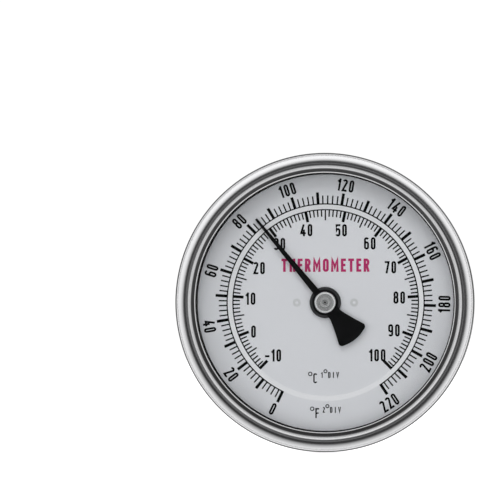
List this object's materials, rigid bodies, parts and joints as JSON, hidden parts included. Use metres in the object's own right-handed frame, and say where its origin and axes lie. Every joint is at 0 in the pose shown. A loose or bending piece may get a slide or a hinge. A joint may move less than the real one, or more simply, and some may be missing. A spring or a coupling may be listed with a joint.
{
  "type": "dial thermometer",
  "caption": "Bimetal dial thermometer with a round window and two scales, a long neck, a sanitary clamp flange, a thin probe stem and a rear screw that turns the dial.",
  "frame": {"origin": "centre of the clamp flange's sealing face, on the stem's axis", "axes": "+Y along the stem into the vessel, -Y the way the dial faces, +Z to the middle of the top of the dial, +X to the dial's right for a reader"},
  "size_m": [0.083, 0.1156, 0.083],
  "materials": {
    "satin_stainless": "satin stainless steel with fine circular brush lines",
    "polished_stainless": "polished stainless steel",
    "weld_steel": "smooth dressed weld",
    "window_glass": "clear flat glass",
    "black_rubber": "matte black rubber",
    "dial_silver": "silver-white satin paint",
    "brass": "turned brass",
    "spring_steel": "spring steel",
    "bimetal": "rolled bimetal strip",
    "pointer_black": "matte black paint",
    "turned_steel": "lathe-turned stainless steel"
  },
  "bodies": {
    "case": {"rear_case": "satin_stainless", "bezel_ring": "polished_stainless", "lens": "window_glass", "window_gasket": "black_rubber", "guide_bushing": "brass", "neck_guide": "brass", "neck_tube": "satin_stainless", "neck_weld_case": "weld_steel", "neck_weld_flange": "weld_steel", "flange": "satin_stainless", "stem_tube": "satin_stainless", "stem_weld_ring": "weld_steel", "stem_end_plug": "weld_steel", "stem_guide": "brass", "bimetal_helix": "bimetal", "helix_anchor": "brass", "friction_washer": "spring_steel", "carrier_clip": "spring_steel", "calibration_seal": "black_rubber"},
    "dial": {"dial_plate": "dial_silver", "dial_rivet_left": "dial_silver", "dial_rivet_right": "dial_silver", "dial_carrier": "brass", "dial_gear": "brass"},
    "pointer": {"pointer": "pointer_black", "pointer_collar": "pointer_black", "pointer_hub": "turned_steel", "spindle": "spring_steel", "helix_drive_collar": "brass"},
    "calibration_screw": {"calibration_screw": "turned_steel", "calibration_pinion": "brass", "calibration_clip": "spring_steel"}
  },
  "joints": [
    {"name": "pointer_turn", "type": "hinge", "parent": "case", "child": "pointer", "pos_m": [0, -0.0596, 0], "axis": [0, 1, 0], "range_deg": [-114.9, 186.1], "stiffness_Nm_per_rad": 0.002, "deforming": ["bimetal_helix"]},
    {"name": "dial_adjust", "type": "hinge", "parent": "case", "child": "dial", "pos_m": [0, -0.058, 0], "axis": [0, 1, 0], "range_deg": [-15, 15]},
    {"name": "calibration_screw_turn", "type": "hinge", "parent": "case", "child": "calibration_screw", "pos_m": [0, -0.043, -0.0264], "axis": [0, 1, 0], "range_deg": [-67.5, 67.5]}
  ],
  "couplings": [
    {"joint": "calibration_screw_turn", "follows": "dial_adjust", "ratio": -4.5}
  ]
}
